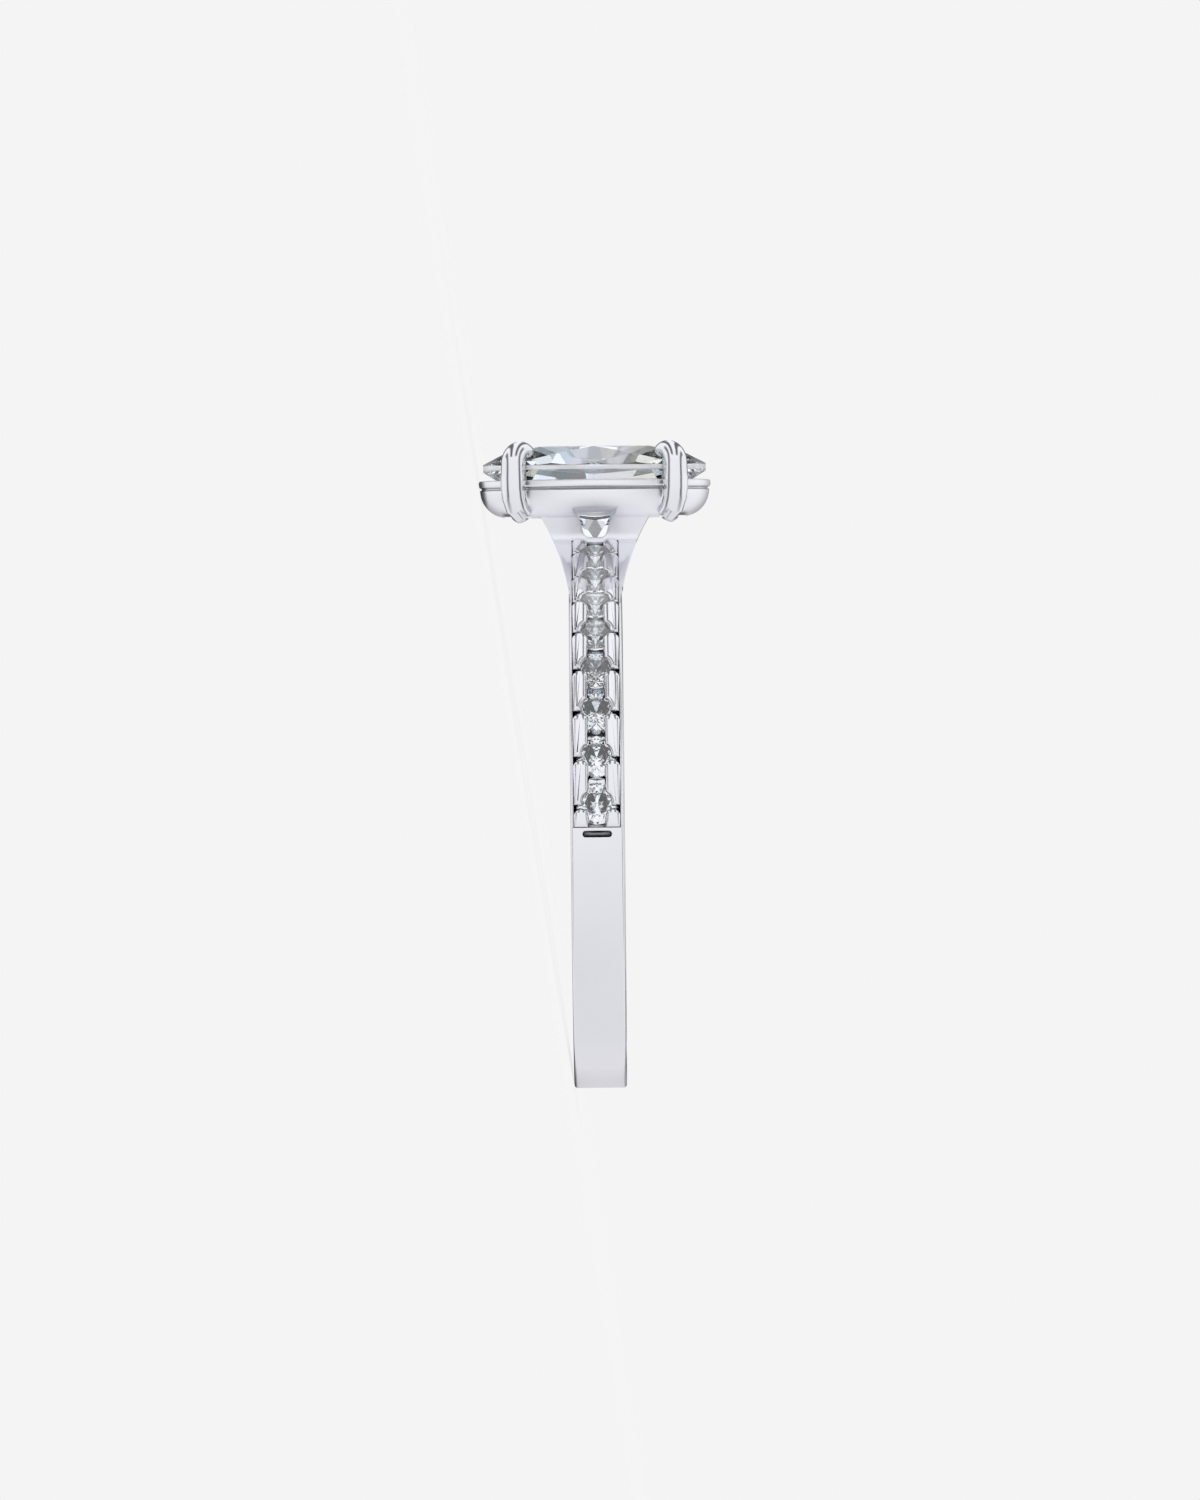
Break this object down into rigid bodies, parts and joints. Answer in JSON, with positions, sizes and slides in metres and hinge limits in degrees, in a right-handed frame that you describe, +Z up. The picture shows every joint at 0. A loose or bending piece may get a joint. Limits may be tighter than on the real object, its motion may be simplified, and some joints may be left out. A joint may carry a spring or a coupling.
{
  "type": "solitaire ring",
  "caption": "Slim white metal finger ring with an oval stone held by claws in a raised cup, a pierced window under it and small round stones down both shoulders.",
  "frame": {"origin": "middle of the ring's footprint on the surface that it lies on", "axes": "+Z up from the surface, close to the finger axis; +Y from the shank towards the head; X across the ring. The finger axis leans 8.5 degrees from Z, because the wide head lifts that end of the ring"},
  "size_m": [0.0204, 0.025, 0.0087],
  "materials": {
    "white_gold": "polished",
    "centre_gem": "polished",
    "side_gem": "polished"
  },
  "bodies": {
    "root": {"cast_ring": "white_gold", "centre_stone": "centre_gem", "right_stone_1": "side_gem", "right_stone_2": "side_gem", "right_stone_3": "side_gem", "right_stone_4": "side_gem", "right_stone_5": "side_gem", "right_stone_6": "side_gem", "right_stone_7": "side_gem", "right_stone_8": "side_gem", "left_stone_1": "side_gem", "left_stone_2": "side_gem", "left_stone_3": "side_gem", "left_stone_4": "side_gem", "left_stone_5": "side_gem", "left_stone_6": "side_gem", "left_stone_7": "side_gem", "left_stone_8": "side_gem"}
  },
  "joints": []
}
